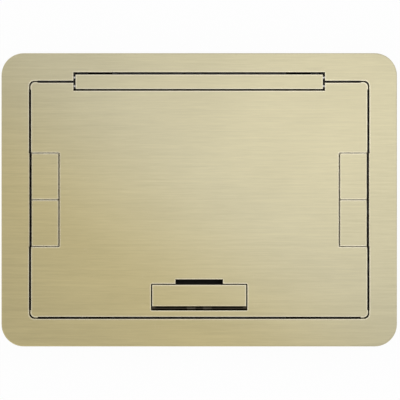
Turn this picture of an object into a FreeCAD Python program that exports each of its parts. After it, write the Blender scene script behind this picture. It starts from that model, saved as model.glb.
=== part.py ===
import FreeCAD, Part
import math
import os

# Floor box cover: a flanged trim plate with a flush lid on a double-pivot hinge bar,
# four sprung cable flaps and a sprung lift handle, on a black sheet-steel collar.
# Millimetres. +Z up, +Y towards the hinge, +X right when facing the hinge.
# Origin: centre of the collar's lower edge.

# Trim flange
FLANGE_LENGTH = 356.0
FLANGE_WIDTH = 264.0
FLANGE_CORNER = 20.0
FLANGE_BAND = 25.0
FLANGE_EDGE = 1.0
OPENING_CORNER = 4.5
PLATE = 5.0
EDGE_BREAK = 0.3

# Lid and the proud lands that centre its corners
LID_GAP = 1.5
LID_CORNER = 4.0
LAND_LENGTH = 6.5
LAND_PROUD = 0.5

# Collar, gasket and lid seats
COLLAR_DEPTH = 31.0
COLLAR_INSET = 12.0
COLLAR_CORNER = 10.0
SHEET = 1.5
BEND = 1.5
LIP_SETBACK = 1.0
TAB_WIDTH = 22.0
TAB_REACH = 16.0
TAB_CORNER = 4.0
TAB_PLACE = 90.0
MOUNT_HOLE = 5.5
MOUNT_HOLE_SETBACK = 8.0
GASKET = 2.0
GASKET_INNER_CLEAR = 0.5
GASKET_EDGE_SETBACK = 1.5
SEAT_LEG = 26.0
SEAT_TIP = 4.0
PAD_DIAMETER = 8.0
PAD_SETBACK = 7.0
PAD_CLEAR = 0.3

# Hinge bar and its pins
BAR_INSET = 66.5
BAR_WIDTH = 13.4
BAR_REAR_GAP = 1.7
BAR_FRONT_GAP = 1.2
BAR_END_GAP = 1.5
BAR_RELIEF = 1.2
PIN_PITCH = 7.8
HINGE_PIN = 2.4
HINGE_PIN_IN_BAR = 12.0
HINGE_PIN_IN_PLATE = 9.0
PIN_CHAMFER = 0.3
PIN_END_CLEAR = 0.5
RUNNING_FIT = 0.05

# Cable flaps
FLAP_NOTCH = 25.6
FLAP_SEAM = 0.6
FLAP_WIDTH = 41.75
FLAP_SIDE_SEAM = 0.35
FLAP_INSET = 0.45
FLAP_PIN = 2.0
FLAP_PIN_DROP = 2.6
LEAF = 1.2
LEAF_REACH = 21.0
LEAF_SIDE_SETBACK = 1.0
KNUCKLE_WALL = 1.2
KNUCKLE_LENGTH = 8.0
STOP_WIDTH = 7.0
STOP_OVERHANG = 3.0
STOP_CLEAR = 0.3
RIVET_SHANK = 2.4
RIVET_HEAD = 4.4
RIVET_HEAD_HEIGHT = 0.9
RIVET_DEPTH = 2.5
RIVET_CLEAR = 0.7
RIVET_REACH = 15.75
BRACKET_BASE = 9.0
EAR_CLEAR = 0.5
HINGE_CLEAR = 0.4
PIN_OVERHANG = 1.0
FLAP_WIRE = 0.55
FLAP_COIL_CLEAR = 0.2
FLAP_COIL_LENGTH = 5.0
FLAP_SPRING_LEG = 12.0
SPRING_REST = 0.05
COIL_FILL = 1.1

# Lift handle, its window and pocket
HANDLE_LENGTH = 85.0
HANDLE_WIDTH = 19.8
HANDLE_PLATE = 3.0
HANDLE_ROUND = 1.0
HANDLE_SIDE_SEAM = 0.7
HANDLE_REAR_SEAM = 0.5
HANDLE_FRONT_GAP = 3.3
WINDOW_SETBACK = 6.1
WINDOW_CORNER = 0.8
SLOT_LENGTH = 42.3
SLOT_WIDTH = 4.0
HANDLE_PIN = 1.6
HANDLE_PIN_DEPTH = 2.5
HANDLE_PIN_IN_LID = 4.0
HANDLE_KNUCKLE_WALL = 0.5
HANDLE_KNUCKLE_LENGTH = 3.0
HANDLE_FOOT = 4.0
HANDLE_WIRE = 0.45
HANDLE_COIL_LENGTH = 8.5
HANDLE_COIL_SPLIT = 6.0
SPRING_LOOP_REACH = 11.0
SPRING_LEG_DROP = 8.0
SPRING_EXIT = 30.0
EYE_WIDTH = 4.0
EYE_LENGTH = 3.6
EYE_DROP = 2.0
POCKET_WALL = 1.5
POCKET_DEPTH = 12.0
POCKET_SIDE_CLEAR = 1.3
POCKET_FRONT_CLEAR = 0.6
POCKET_REAR_CLEAR = 2.5
POCKET_CORNER = 3.0
POCKET_FRONT_RIM = 3.0
POCKET_RIM = 9.0
PEG_WIDTH = 2.4
PEG_LENGTH = 1.6
PEG_HEIGHT = 9.0

# Stiffener tray under the lid
TRAY_END_CLEAR = 2.5
TRAY_FRONT_CLEAR = 3.0
TRAY_REAR_SETBACK = 6.0
TRAY_FLANGE = 8.0
TRAY_CORNER = 6.0
TRAY_HOLE = 26.0
TRAY_COLUMNS = 4
TRAY_ROWS = 2

# Screws
M4 = 4.0
M4_HEAD = 7.6
M4_HEAD_HEIGHT = 2.4
M3 = 3.0
M3_HEAD = 5.6
M3_HEAD_HEIGHT = 1.8
SCREW_CLEAR = 0.2
SCREW_DEPTH = 3.5
DRIVE_SOCKET = 0.45
DRIVE_DEPTH = 0.55
SCREW_EDGE = 10.0
BRACKET_SCREW_EDGE = 8.0

# Levels
UNDER = COLLAR_DEPTH
TOP = UNDER + PLATE
SHEET_UNDER = UNDER - SHEET

# Plan sizes worked out from the driving ones
OPENING_LENGTH = FLANGE_LENGTH - 2 * FLANGE_BAND
OPENING_WIDTH = FLANGE_WIDTH - 2 * FLANGE_BAND
LID_LENGTH = OPENING_LENGTH - 2 * LID_GAP
LID_WIDTH = OPENING_WIDTH - 2 * LID_GAP
LID_SIDE = LID_LENGTH / 2
LID_FRONT = -LID_WIDTH / 2

COLLAR_LENGTH = FLANGE_LENGTH - 2 * COLLAR_INSET
COLLAR_WIDTH = FLANGE_WIDTH - 2 * COLLAR_INSET
WALL_SIDE = COLLAR_LENGTH / 2 - SHEET
WALL_END = COLLAR_WIDTH / 2 - SHEET
LIP_SIDE = OPENING_LENGTH / 2 + LIP_SETBACK
LIP_END = OPENING_WIDTH / 2 + LIP_SETBACK

BAR_Y = OPENING_WIDTH / 2 - LID_GAP / 2
BAR_HALF = FLANGE_LENGTH / 2 - BAR_INSET
BAR_NOTCH_HALF = BAR_HALF + BAR_END_GAP
FRAME_PIN_Y = BAR_Y + PIN_PITCH / 2
LID_PIN_Y = BAR_Y - PIN_PITCH / 2
PIN_Z = TOP - PLATE / 2
FRAME_NOTCH_Y = BAR_Y + BAR_WIDTH / 2 + BAR_REAR_GAP
LID_NOTCH_Y = BAR_Y - BAR_WIDTH / 2 - BAR_FRONT_GAP

NOTCH_X = LID_SIDE - FLAP_NOTCH
NOTCH_HALF = FLAP_WIDTH + 1.5 * FLAP_SIDE_SEAM
FLAP_X = NOTCH_X + FLAP_SEAM
FLAP_SIDE = LID_SIDE - FLAP_INSET
FLAP_PIN_X = NOTCH_X + FLAP_SEAM / 2
FLAP_PIN_Z = UNDER - FLAP_PIN_DROP
KNUCKLE_R = FLAP_PIN / 2 + RUNNING_FIT + KNUCKLE_WALL
FLAP_Y = FLAP_SIDE_SEAM / 2
LEAF_Y = FLAP_Y + LEAF_SIDE_SETBACK
LEAF_Y_END = FLAP_Y + FLAP_WIDTH - LEAF_SIDE_SETBACK
EAR_Y = NOTCH_HALF + EAR_CLEAR
BRACKET_X = FLAP_PIN_X - KNUCKLE_R - HINGE_CLEAR
BRACKET_HALF = EAR_Y + SHEET

WINDOW_FRONT = LID_FRONT + WINDOW_SETBACK
HANDLE_FRONT = WINDOW_FRONT + HANDLE_FRONT_GAP
HANDLE_REAR = HANDLE_FRONT + HANDLE_WIDTH
WINDOW_REAR = HANDLE_REAR + HANDLE_REAR_SEAM
WINDOW_HALF = HANDLE_LENGTH / 2 + HANDLE_SIDE_SEAM
SLOT_REAR = WINDOW_REAR + SLOT_WIDTH
HANDLE_UNDER = TOP - HANDLE_PLATE
HANDLE_PIN_Y = WINDOW_FRONT + HANDLE_FRONT_GAP / 2
HANDLE_PIN_Z = TOP - HANDLE_PIN_DEPTH
HANDLE_KNUCKLE_R = HANDLE_PIN / 2 + RUNNING_FIT + HANDLE_KNUCKLE_WALL
HANDLE_COIL_R = HANDLE_PIN / 2 + 2 * RUNNING_FIT + HANDLE_WIRE / 2
SPRING_EXIT_Y = HANDLE_COIL_R * math.cos(math.radians(SPRING_EXIT))
SPRING_EXIT_Z = -HANDLE_COIL_R * math.sin(math.radians(SPRING_EXIT))
EYE_Y = HANDLE_PIN_Y + SPRING_LOOP_REACH
EYE_Z = HANDLE_UNDER - EYE_DROP

CUP_HALF = WINDOW_HALF + POCKET_SIDE_CLEAR
CUP_FRONT = WINDOW_FRONT - POCKET_FRONT_CLEAR
CUP_REAR = SLOT_REAR + POCKET_REAR_CLEAR
CUP_FLOOR = UNDER - POCKET_DEPTH
RIM_HALF = CUP_HALF + POCKET_WALL + POCKET_RIM
RIM_FRONT = CUP_FRONT - POCKET_WALL - POCKET_FRONT_RIM
RIM_REAR = CUP_REAR + POCKET_WALL + POCKET_RIM

TRAY_HALF = BRACKET_X - BRACKET_BASE - TRAY_END_CLEAR
TRAY_FRONT = RIM_REAR + TRAY_FRONT_CLEAR
TRAY_REAR = LID_NOTCH_Y - TRAY_REAR_SETBACK

TOUCH = 1e-6
SIDES = {"left": -1, "right": 1}
ENDS = {"front": -1, "rear": 1}


def at(x, y, z):
    return FreeCAD.Vector(x, y, z)


def block(x0, x1, y0, y1, z0, z1):
    """Box between two corners."""
    return Part.makeBox(x1 - x0, y1 - y0, z1 - z0, at(x0, y0, z0))


def rod(radius, start, end):
    """Round bar from one point to another."""
    return Part.makeCylinder(radius, (end - start).Length, start, end - start)


def pin(diameter, start, end):
    """Round pin with chamfered ends."""
    body = rod(diameter / 2, start, end)
    return body.makeChamfer(PIN_CHAMFER, [edge for edge in body.Edges if edge.Closed])


def drill(shape, radius, start, end):
    return shape.cut(rod(radius, start, end))


def joined(shapes):
    """One solid from shapes that overlap or share faces."""
    return shapes[0].multiFuse(shapes[1:]).removeSplitter()


def group(shapes):
    """Separate solids kept together as one sub-part."""
    return Part.makeCompound(shapes)


def is_upright(edge):
    a, b = edge.Vertexes[0].Point, edge.Vertexes[-1].Point
    return math.hypot(a.x - b.x, a.y - b.y) < TOUCH < abs(a.z - b.z)


def rounded_block(x0, x1, y0, y1, z0, z1, radius):
    """Box with its upright edges rounded."""
    box = block(x0, x1, y0, y1, z0, z1)
    return box.makeFillet(radius, [edge for edge in box.Edges if is_upright(edge)])


def centred_plate(length, width, radius, z0, z1):
    return rounded_block(-length / 2, length / 2, -width / 2, width / 2, z0, z1, radius)


def edges_at(shape, z):
    """Edges that lie wholly at one height."""
    return [e for e in shape.Edges if max(abs(e.BoundBox.ZMin - z), abs(e.BoundBox.ZMax - z)) < TOUCH]


def profile_along_y(points, y0, y1):
    """Closed outline of (x, z) points, extruded along Y."""
    corners = [at(x, y0, z) for x, z in points]
    return Part.Face(Part.makePolygon(corners + corners[:1])).extrude(at(0, y1 - y0, 0))


def profile_along_x(points, x0, x1):
    """Closed outline of (y, z) points, extruded along X."""
    corners = [at(x0, y, z) for y, z in points]
    return Part.Face(Part.makePolygon(corners + corners[:1])).extrude(at(x1 - x0, 0, 0))


def on_side(shape, side):
    """The right-hand shape, mirrored for the left."""
    return shape if side > 0 else shape.mirror(at(0, 0, 0), at(1, 0, 0))


def at_end(shape, end):
    """The rear shape, mirrored for the front."""
    return shape if end > 0 else shape.mirror(at(0, 0, 0), at(0, 1, 0))


def screw_up(x, y, seat_z, diameter, head, head_height):
    """Pan-head screw driven upwards from its seat, with a hexagon socket in the head."""
    shank = rod(diameter / 2, at(x, y, seat_z), at(x, y, UNDER + SCREW_DEPTH))
    cap = rod(head / 2, at(x, y, seat_z - head_height), at(x, y, seat_z))
    rim = edges_at(cap, seat_z - head_height)
    cap = cap.makeFillet(head_height / 3, rim)
    socket_r = head * DRIVE_SOCKET / 2
    hexagon = Part.makePolygon([p + at(x, y, seat_z - head_height) for p in hexagon_points(socket_r)])
    socket = Part.Face(hexagon).extrude(at(0, 0, head_height * DRIVE_DEPTH))
    return joined([shank, cap]).cut(socket)


def hexagon_points(radius):
    turn = FreeCAD.Rotation(at(0, 0, 1), 60)
    points = [at(radius, 0, 0)]
    for _ in range(6):
        points.append(turn.multVec(points[-1]))
    return points


def collar_screw_places():
    """Screws along the middle of the collar's lip, clear of the hinge notch."""
    side_x = (LIP_SIDE + WALL_SIDE) / 2
    end_y = (LIP_END + WALL_END) / 2
    step_x = OPENING_LENGTH / 4
    step_y = OPENING_WIDTH / 3
    front = [(i * step_x, -end_y) for i in (-1.5, -0.5, 0.5, 1.5)]
    rear_x = (BAR_NOTCH_HALF + OPENING_LENGTH / 2) / 2
    rear = [(side * rear_x, end_y) for side in (-1, 1)]
    sides = [(side * side_x, i * step_y) for side in (-1, 1) for i in (-1, 0, 1)]
    return front + rear + sides


def tray_screw_places():
    """Screws inside the tray's flanges, between its lightening holes."""
    x = TRAY_HALF - SCREW_EDGE
    rows = (TRAY_FRONT + SCREW_EDGE, (TRAY_FRONT + TRAY_REAR) / 2, TRAY_REAR - SCREW_EDGE)
    return [(side * x, y) for side in (-1, 1) for y in rows] + [(0, rows[0]), (0, rows[2])]


def pocket_screw_places():
    x = CUP_HALF + POCKET_WALL + POCKET_RIM / 2
    return [(side * x, y) for side in (-1, 1) for y in (CUP_FRONT + SCREW_EDGE / 2, CUP_REAR)]


def bracket_screw_places():
    x = BRACKET_X - BRACKET_BASE / 2
    inner, outer = SHEET + BRACKET_SCREW_EDGE, EAR_Y - BRACKET_SCREW_EDGE
    return [(x, side * y) for side in (-1, 1) for y in (inner, outer)]


def tapped(shape, places, diameter):
    """Blind tapped holes from the underside."""
    for x, y in places:
        shape = drill(shape, diameter / 2, at(x, y, UNDER), at(x, y, UNDER + SCREW_DEPTH))
    return shape


def flange_frame():
    """Trim plate with the lid opening, a land beside each pair of flaps, the bar's notch and pin holes."""
    plate = centred_plate(FLANGE_LENGTH, FLANGE_WIDTH, FLANGE_CORNER, UNDER, TOP)
    plate = plate.makeFillet(FLANGE_EDGE, edges_at(plate, TOP))
    opening = centred_plate(OPENING_LENGTH, OPENING_WIDTH, OPENING_CORNER, UNDER, TOP)
    for side in SIDES.values():
        land = block(OPENING_LENGTH / 2 - FLAP_INSET, OPENING_LENGTH, -NOTCH_HALF, NOTCH_HALF, UNDER, TOP)
        opening = opening.cut(on_side(land, side))
    notch = block(-BAR_NOTCH_HALF, BAR_NOTCH_HALF, 0, FRAME_NOTCH_Y, UNDER, TOP)
    plate = plate.cut(joined([opening, notch]))
    plate = plate.makeChamfer(EDGE_BREAK, [e for e in edges_at(plate, TOP) if in_opening(e)])
    for side in SIDES.values():
        inner_end = at(side * (BAR_NOTCH_HALF - 1), FRAME_PIN_Y, PIN_Z)
        outer_end = at(side * (BAR_NOTCH_HALF + HINGE_PIN_IN_PLATE), FRAME_PIN_Y, PIN_Z)
        plate = drill(plate, HINGE_PIN / 2, inner_end, outer_end)
    return tapped(plate, collar_screw_places(), M4)


def in_opening(edge):
    """Whether an edge runs round the lid opening or its notch, not round the flange."""
    bound = edge.BoundBox
    reach_x, reach_y = max(bound.XMax, -bound.XMin), max(bound.YMax, -bound.YMin)
    return reach_x < LIP_SIDE and reach_y < FRAME_NOTCH_Y + EDGE_BREAK


def collar():
    """Sheet-steel box below the flange: inward lip on top, mounting tabs at the bottom."""
    outer = centred_plate(COLLAR_LENGTH, COLLAR_WIDTH, COLLAR_CORNER, 0, UNDER)
    hollow = centred_plate(2 * WALL_SIDE, 2 * WALL_END, COLLAR_CORNER - SHEET, 0, SHEET_UNDER)
    throat = centred_plate(2 * LIP_SIDE, 2 * LIP_END, OPENING_CORNER, 0, UNDER)
    box = outer.cut(hollow).cut(throat)
    notch_half = BAR_NOTCH_HALF + LIP_SETBACK
    box = box.cut(block(-notch_half, notch_half, 0, FRAME_NOTCH_Y + LIP_SETBACK, SHEET_UNDER, UNDER))
    box = box.makeFillet(BEND, lip_bend_edges(box))
    tabs = [mounting_tab(side, end) for side in SIDES.values() for end in ENDS.values()]
    box = joined([box] + tabs)
    for x, y in collar_screw_places():
        box = drill(box, M4 / 2 + SCREW_CLEAR, at(x, y, SHEET_UNDER), at(x, y, UNDER))
    return box


def lip_bend_edges(box):
    """Upper outer edges of the collar, where its lip is folded in."""
    bends = []
    for edge in edges_at(box, UNDER):
        bound = edge.BoundBox
        if max(bound.XMax, -bound.XMin) > WALL_SIDE or max(bound.YMax, -bound.YMin) > WALL_END:
            bends.append(edge)
    return bends


def mounting_tab(side, end):
    """Tab folded in from the collar wall's lower edge, with a hole for the box's screw."""
    x0 = TAB_PLACE - TAB_WIDTH / 2
    tab = rounded_block(x0, x0 + TAB_WIDTH, WALL_END - TAB_REACH, WALL_END + SHEET, 0, SHEET, TAB_CORNER)
    tab = joined([tab, block(x0, x0 + TAB_WIDTH, WALL_END - TAB_REACH / 2, WALL_END + SHEET / 2, 0, SHEET)])
    hole_y = WALL_END - MOUNT_HOLE_SETBACK
    tab = drill(tab, MOUNT_HOLE / 2, at(TAB_PLACE, hole_y, 0), at(TAB_PLACE, hole_y, SHEET))
    return at_end(on_side(tab, side), end)


def floor_gasket():
    """Flat rubber ring under the flange's overhang."""
    outer_l = FLANGE_LENGTH - 2 * GASKET_EDGE_SETBACK
    outer_w = FLANGE_WIDTH - 2 * GASKET_EDGE_SETBACK
    outer = centred_plate(outer_l, outer_w, FLANGE_CORNER - GASKET_EDGE_SETBACK, UNDER - GASKET, UNDER)
    inner_l = COLLAR_LENGTH + 2 * GASKET_INNER_CLEAR
    inner_w = COLLAR_WIDTH + 2 * GASKET_INNER_CLEAR
    inner = centred_plate(inner_l, inner_w, COLLAR_CORNER + GASKET_INNER_CLEAR, UNDER - GASKET, UNDER)
    return outer.cut(inner)


def corner_seat(side):
    """Gusset with blunt tips under the lip at a front corner, which carries the lid."""
    x, y = WALL_SIDE - COLLAR_CORNER / 2, -WALL_END + COLLAR_CORNER / 2
    outline = [(x, y), (x - SEAT_LEG, y), (x - SEAT_LEG, y + SEAT_TIP), (x - SEAT_TIP, y + SEAT_LEG),
               (x, y + SEAT_LEG)]
    corners = [at(*place, SHEET_UNDER) for place in outline]
    seat = Part.Face(Part.makePolygon(corners + corners[:1])).extrude(at(0, 0, -SHEET))
    return on_side(seat, side)


def lid_pad(side):
    """Rubber disc on a corner seat, just under the lid's corner."""
    x = side * (LID_SIDE - PAD_SETBACK)
    y = LID_FRONT + PAD_SETBACK
    return rod(PAD_DIAMETER / 2, at(x, y, SHEET_UNDER), at(x, y, UNDER - PAD_CLEAR))


def hinge_bar():
    """Flat bar let half into the flange and half into the lid, on two pins at each end."""
    bar = block(-BAR_HALF, BAR_HALF, BAR_Y - BAR_WIDTH / 2, BAR_Y + BAR_WIDTH / 2, UNDER, TOP)
    long_edges = [e for e in bar.Edges if e.Length > 2 * BAR_HALF - 1]
    lower = [e for e in long_edges if e.BoundBox.ZMax < PIN_Z]
    bar = bar.makeFillet(BAR_RELIEF, lower)
    bar = bar.makeChamfer(EDGE_BREAK, edges_at(bar, TOP))
    for side in SIDES.values():
        for y in (FRAME_PIN_Y, LID_PIN_Y):
            mouth = at(side * (BAR_HALF + 1), y, PIN_Z)
            blind = at(side * (BAR_HALF - HINGE_PIN_IN_BAR), y, PIN_Z)
            bar = drill(bar, HINGE_PIN / 2 + RUNNING_FIT, mouth, blind)
    return bar


def hinge_pin(side, y):
    """Steel pin pressed into the plate and running in the bar."""
    inner = at(side * (BAR_HALF - HINGE_PIN_IN_BAR + PIN_END_CLEAR), y, PIN_Z)
    outer = at(side * (BAR_NOTCH_HALF + HINGE_PIN_IN_PLATE), y, PIN_Z)
    return pin(HINGE_PIN, inner, outer)


def lid_blank():
    """Lid outline with its four proud corner lands."""
    plate = centred_plate(LID_LENGTH, LID_WIDTH, LID_CORNER, UNDER, TOP)
    lands_length, lands_width = LID_LENGTH + 2 * LAND_PROUD, LID_WIDTH + 2 * LAND_PROUD
    lands = centred_plate(lands_length, lands_width, LID_CORNER + LAND_PROUD, UNDER, TOP)
    x0 = LID_SIDE - LAND_LENGTH
    y0 = LID_WIDTH / 2 - LAND_LENGTH
    corner = block(x0, LID_SIDE + LAND_PROUD, y0, LID_WIDTH / 2 + LAND_PROUD, UNDER, TOP)
    corners = [at_end(on_side(corner, side), end) for side in SIDES.values() for end in ENDS.values()]
    return joined([plate] + [lands.common(c) for c in corners])


def at_flap_notch(edge):
    """Whether an edge is one of the tight seams beside the cable flaps, which stay sharp."""
    bound = edge.BoundBox
    inner_x = min(abs(bound.XMin), abs(bound.XMax))
    return inner_x > NOTCH_X - TOUCH and max(bound.YMax, -bound.YMin) < NOTCH_HALF + TOUCH


def lid_plate():
    """Flush lid: notches for the hinge bar and the flaps, the handle window and finger slot."""
    plate = lid_blank()
    plate = plate.cut(block(-BAR_NOTCH_HALF, BAR_NOTCH_HALF, LID_NOTCH_Y, LID_WIDTH, UNDER, TOP))
    for side in SIDES.values():
        notch = block(NOTCH_X, LID_LENGTH, -NOTCH_HALF, NOTCH_HALF, UNDER, TOP)
        plate = plate.cut(on_side(notch, side))
    window = rounded_block(-WINDOW_HALF, WINDOW_HALF, WINDOW_FRONT, WINDOW_REAR, UNDER, TOP, WINDOW_CORNER)
    slot = block(-SLOT_LENGTH / 2, SLOT_LENGTH / 2, HANDLE_REAR, SLOT_REAR, UNDER, TOP)
    plate = plate.cut(joined([window, slot]))
    rims = edges_at(plate, TOP) + edges_at(plate, UNDER)
    plate = plate.makeChamfer(EDGE_BREAK, [edge for edge in rims if not at_flap_notch(edge)])
    for side in SIDES.values():
        x0, x1 = WINDOW_HALF - 1, WINDOW_HALF + HANDLE_PIN_IN_LID
        half = HANDLE_PIN / 2 + RUNNING_FIT
        groove = block(x0, x1, HANDLE_PIN_Y - half, HANDLE_PIN_Y + half, UNDER, HANDLE_PIN_Z)
        crown = rod(half, at(x0, HANDLE_PIN_Y, HANDLE_PIN_Z), at(x1, HANDLE_PIN_Y, HANDLE_PIN_Z))
        plate = plate.cut(on_side(joined([groove, crown]), side))
        inner_end = at(side * (BAR_NOTCH_HALF - 1), LID_PIN_Y, PIN_Z)
        outer_end = at(side * (BAR_NOTCH_HALF + HINGE_PIN_IN_PLATE), LID_PIN_Y, PIN_Z)
        plate = drill(plate, HINGE_PIN / 2, inner_end, outer_end)
        plate = tapped(plate, [(side * x, y) for x, y in bracket_screw_places()], M3)
    plate = tapped(plate, tray_screw_places(), M4)
    return tapped(plate, pocket_screw_places(), M3)


def stiffener_tray():
    """Pressed sheet tray under the lid, with turned-down flanges and lightening holes."""
    half = TRAY_HALF
    low = UNDER - TRAY_FLANGE
    tray = rounded_block(-half, half, TRAY_FRONT, TRAY_REAR, low, UNDER, TRAY_CORNER)
    tray = tray.makeFillet(BEND, edges_at(tray, UNDER))
    inner_corner = TRAY_CORNER - SHEET
    hollow = rounded_block(-half + SHEET, half - SHEET, TRAY_FRONT + SHEET, TRAY_REAR - SHEET,
                           low, SHEET_UNDER, inner_corner)
    tray = tray.cut(hollow)
    step_x = 2 * half / (TRAY_COLUMNS + 1)
    step_y = (TRAY_REAR - TRAY_FRONT) / (TRAY_ROWS + 1)
    for column in range(TRAY_COLUMNS):
        for row in range(TRAY_ROWS):
            x = -half + step_x * (column + 1)
            y = TRAY_FRONT + step_y * (row + 1)
            tray = drill(tray, TRAY_HOLE / 2, at(x, y, SHEET_UNDER), at(x, y, UNDER))
    for x, y in tray_screw_places():
        tray = drill(tray, M4 / 2 + SCREW_CLEAR, at(x, y, SHEET_UNDER), at(x, y, UNDER))
    return tray


def bracket_ear(y0, y1):
    """One ear of a flap bracket: a plate round the flap pin, up to the bracket's base."""
    foot = BRACKET_X - BRACKET_BASE / 2
    outline = [(foot, SHEET_UNDER), (BRACKET_X, SHEET_UNDER), (BRACKET_X, UNDER - HINGE_CLEAR),
               (FLAP_PIN_X, FLAP_PIN_Z + KNUCKLE_R), (FLAP_PIN_X, FLAP_PIN_Z - KNUCKLE_R),
               (BRACKET_X, FLAP_PIN_Z - KNUCKLE_R / 2)]
    web = profile_along_y(outline, y0, y1)
    return joined([web, rod(KNUCKLE_R, at(FLAP_PIN_X, y0, FLAP_PIN_Z), at(FLAP_PIN_X, y1, FLAP_PIN_Z))])


def flap_bracket():
    """Right-hand bracket: a base under the lid and three ears for the flap pin."""
    base = block(BRACKET_X - BRACKET_BASE, BRACKET_X, -BRACKET_HALF, BRACKET_HALF, SHEET_UNDER, UNDER)
    ears = [bracket_ear(y, y + SHEET) for y in (-BRACKET_HALF, -SHEET / 2, EAR_Y)]
    bracket = joined([base] + ears)
    pin_start, pin_end = at(FLAP_PIN_X, -BRACKET_HALF, FLAP_PIN_Z), at(FLAP_PIN_X, BRACKET_HALF, FLAP_PIN_Z)
    bracket = drill(bracket, FLAP_PIN / 2, pin_start, pin_end)
    for x, y in bracket_screw_places():
        bracket = drill(bracket, M3 / 2 + SCREW_CLEAR, at(x, y, SHEET_UNDER), at(x, y, UNDER))
    return bracket


def flap_pin():
    end = BRACKET_HALF + PIN_OVERHANG
    return pin(FLAP_PIN, at(FLAP_PIN_X, -end, FLAP_PIN_Z), at(FLAP_PIN_X, end, FLAP_PIN_Z))


def rivet_places():
    """One rivet beside the leaf's stop and one as far from its other side."""
    x = FLAP_PIN_X + RIVET_REACH
    setback = STOP_WIDTH + RIVET_CLEAR + RIVET_HEAD / 2
    return [(x, LEAF_Y + setback), (x, LEAF_Y_END - setback)]


def cable_flap():
    """Right rear flap plate, flush in the lid's notch, with blind holes for its rivets."""
    flap = block(FLAP_X, FLAP_SIDE, FLAP_Y, FLAP_Y + FLAP_WIDTH, UNDER, TOP)
    outer = [e for e in edges_at(flap, TOP) if e.BoundBox.XMin > FLAP_SIDE - 1]
    flap = flap.makeChamfer(EDGE_BREAK, outer)
    for x, y in rivet_places():
        flap = drill(flap, RIVET_SHANK / 2, at(x, y, UNDER), at(x, y, UNDER + RIVET_DEPTH))
    return flap


def flap_leaf():
    """Steel leaf under the right rear flap: two knuckles round the pin and a stop at its outer side."""
    leaf_under = UNDER - LEAF
    plate_x = FLAP_PIN_X + KNUCKLE_R + HINGE_CLEAR
    plate = block(plate_x, FLAP_PIN_X + LEAF_REACH, LEAF_Y, LEAF_Y_END, leaf_under, UNDER)
    web = [(FLAP_X, FLAP_PIN_Z), (FLAP_X, UNDER), (plate_x + LEAF, UNDER), (plate_x + LEAF, leaf_under),
           (FLAP_PIN_X + KNUCKLE_R, FLAP_PIN_Z)]
    knuckles = []
    for y0 in (LEAF_Y, LEAF_Y_END - KNUCKLE_LENGTH):
        y1 = y0 + KNUCKLE_LENGTH
        knuckles.append(profile_along_y(web, y0, y1))
        knuckles.append(rod(KNUCKLE_R, at(FLAP_PIN_X, y0, FLAP_PIN_Z), at(FLAP_PIN_X, y1, FLAP_PIN_Z)))
    stop_x1 = FLAP_PIN_X + LEAF_REACH
    stop_top = UNDER - STOP_CLEAR
    stop_y0, stop_y1 = LEAF_Y_END - STOP_WIDTH, NOTCH_HALF + STOP_OVERHANG
    stop = block(stop_x1 - STOP_WIDTH, stop_x1, stop_y0, stop_y1, stop_top - LEAF, stop_top)
    leaf = joined([plate, stop] + knuckles)
    pin_start, pin_end = at(FLAP_PIN_X, 0, FLAP_PIN_Z), at(FLAP_PIN_X, NOTCH_HALF, FLAP_PIN_Z)
    leaf = drill(leaf, FLAP_PIN / 2 + RUNNING_FIT, pin_start, pin_end)
    for x, y in rivet_places():
        leaf = drill(leaf, RIVET_SHANK / 2, at(x, y, leaf_under), at(x, y, UNDER))
    return leaf


def flap_rivets():
    """Two rivets through the right rear leaf into its flap."""
    rivets = []
    for x, y in rivet_places():
        shank = rod(RIVET_SHANK / 2, at(x, y, UNDER - LEAF), at(x, y, UNDER + RIVET_DEPTH))
        head = rod(RIVET_HEAD / 2, at(x, y, UNDER - LEAF - RIVET_HEAD_HEIGHT), at(x, y, UNDER - LEAF))
        head = head.makeFillet(RIVET_HEAD_HEIGHT * 0.8, edges_at(head, UNDER - LEAF - RIVET_HEAD_HEIGHT))
        rivets.append(joined([shank, head]))
    return group(rivets)


def flap_spring():
    """Right rear torsion spring: a sleeve on the pin, a leg under the leaf and one under the base."""
    y1 = LEAF_Y_END - KNUCKLE_LENGTH - HINGE_CLEAR
    y0 = y1 - FLAP_COIL_LENGTH
    inner_r = FLAP_PIN / 2 + FLAP_COIL_CLEAR
    mid_r = inner_r + FLAP_WIRE / 2
    start, end = at(FLAP_PIN_X, y0, FLAP_PIN_Z), at(FLAP_PIN_X, y1, FLAP_PIN_Z)
    coil = rod(mid_r + FLAP_WIRE / 2 * COIL_FILL, start, end)
    coil = coil.cut(rod(mid_r - FLAP_WIRE / 2 * COIL_FILL, start, end))
    wire_r = FLAP_WIRE / 2
    leaf_leg_z = UNDER - LEAF - wire_r - SPRING_REST
    base_leg_z = SHEET_UNDER - wire_r - SPRING_REST
    legs = []
    for way, leg_z, leg_y in ((1, leaf_leg_z, y1 - FLAP_WIRE), (-1, base_leg_z, y0 + FLAP_WIRE)):
        rise = leg_z - FLAP_PIN_Z
        root_x = FLAP_PIN_X + way * (mid_r ** 2 - rise ** 2) ** 0.5
        tip_x = FLAP_PIN_X + way * FLAP_SPRING_LEG
        legs.append(rod(wire_r, at(root_x, leg_y, leg_z), at(tip_x, leg_y, leg_z)))
    return joined([coil] + legs)


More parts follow.
